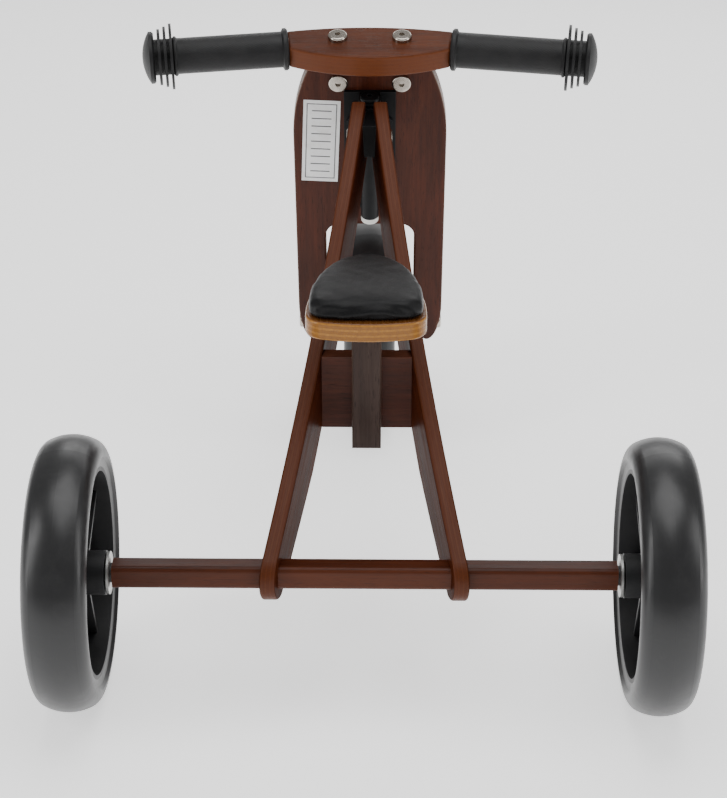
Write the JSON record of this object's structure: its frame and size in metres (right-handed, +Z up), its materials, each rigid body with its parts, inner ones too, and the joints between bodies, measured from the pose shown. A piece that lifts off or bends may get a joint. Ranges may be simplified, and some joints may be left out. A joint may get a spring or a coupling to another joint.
{
  "type": "children's tricycle",
  "caption": "Low wooden tricycle without pedals: raked steering board with handlebar, bowed plywood beams, padded seat and solid rubber wheels.",
  "frame": {"origin": "on the ground, on the centre plane, half way between the front and rear axles", "axes": "+Y the direction of travel, +X to the rider's right, +Z up"},
  "size_m": [0.42, 0.585, 0.364],
  "materials": {
    "wood_beam": "satin",
    "wood_board": "satin",
    "wood_bar": "satin",
    "wood_seat": "satin",
    "wood_post": "satin",
    "tyre_rubber": "satin",
    "grip_rubber": "matt",
    "rim_plastic": "matt",
    "bushing_plastic": "satin",
    "black_steel": "satin black powder coat",
    "nickel": "nickel plated",
    "zinc": "zinc plated",
    "pad_leatherette": "soft sheen",
    "label_paper": "matt"
  },
  "bodies": {
    "frame": {"beam_left": "wood_beam", "beam_right": "wood_beam", "cross_plate": "wood_beam", "cross_plate_screws": "zinc", "rear_axle_bar": "wood_bar", "rear_axle_inserts": "zinc", "rear_axle_spacers": "rim_plastic", "rear_axle_washers": "zinc", "rear_axle_bolts": "zinc", "head_lug": "black_steel", "head_bushings": "bushing_plastic", "head_cross_bolt": "nickel", "head_sleeve_nut": "nickel"},
    "fork": {"steering_board": "wood_board", "board_label": "label_paper", "steering_bracket": "black_steel", "steering_bracket_screws": "zinc", "kingpin": "black_steel", "kingpin_cap": "bushing_plastic", "handlebar": "wood_bar", "handlebar_bolts": "nickel", "handlebar_barrel_nuts": "nickel", "grip_left": "grip_rubber", "grip_right": "grip_rubber", "front_axle_bolt": "nickel", "front_axle_nut": "nickel", "front_axle_spacers": "rim_plastic"},
    "front_wheel": {"front_tyre": "tyre_rubber", "front_rim": "rim_plastic", "front_bushings": "bushing_plastic"},
    "rear_wheel_left": {"rear_tyre_left": "tyre_rubber", "rear_rim_left": "rim_plastic", "rear_bushings_left": "bushing_plastic", "rear_hub_cap_left": "rim_plastic"},
    "rear_wheel_right": {"rear_tyre_right": "tyre_rubber", "rear_rim_right": "rim_plastic", "rear_bushings_right": "bushing_plastic", "rear_hub_cap_right": "rim_plastic"},
    "seat": {"seat_base": "wood_seat", "seat_pad": "pad_leatherette", "seat_post": "wood_post", "seat_bracket": "black_steel", "seat_bracket_screws": "zinc", "seat_clamp_bolts": "zinc", "seat_clamp_washers": "zinc", "seat_post_inserts": "zinc"}
  },
  "joints": [
    {"name": "steering", "type": "hinge", "parent": "frame", "child": "fork", "pos_m": [0, 0.12478, 0.28443], "axis": [0, -0.284, 0.9588], "range_deg": [-40, 40]},
    {"name": "front_wheel_spin", "type": "hinge", "parent": "fork", "child": "front_wheel", "pos_m": [0, 0.2025, 0.09], "axis": [1, 0, 0], "continuous": true},
    {"name": "rear_wheel_left_spin", "type": "hinge", "parent": "frame", "child": "rear_wheel_left", "pos_m": [-0.18975, -0.2025, 0.09], "axis": [1, 0, 0], "continuous": true},
    {"name": "rear_wheel_right_spin", "type": "hinge", "parent": "frame", "child": "rear_wheel_right", "pos_m": [0.18975, -0.2025, 0.09], "axis": [1, 0, 0], "continuous": true},
    {"name": "seat_height", "type": "slide", "parent": "frame", "child": "seat", "axis": [0, 0, 1], "range_m": [0, 0.012]}
  ]
}
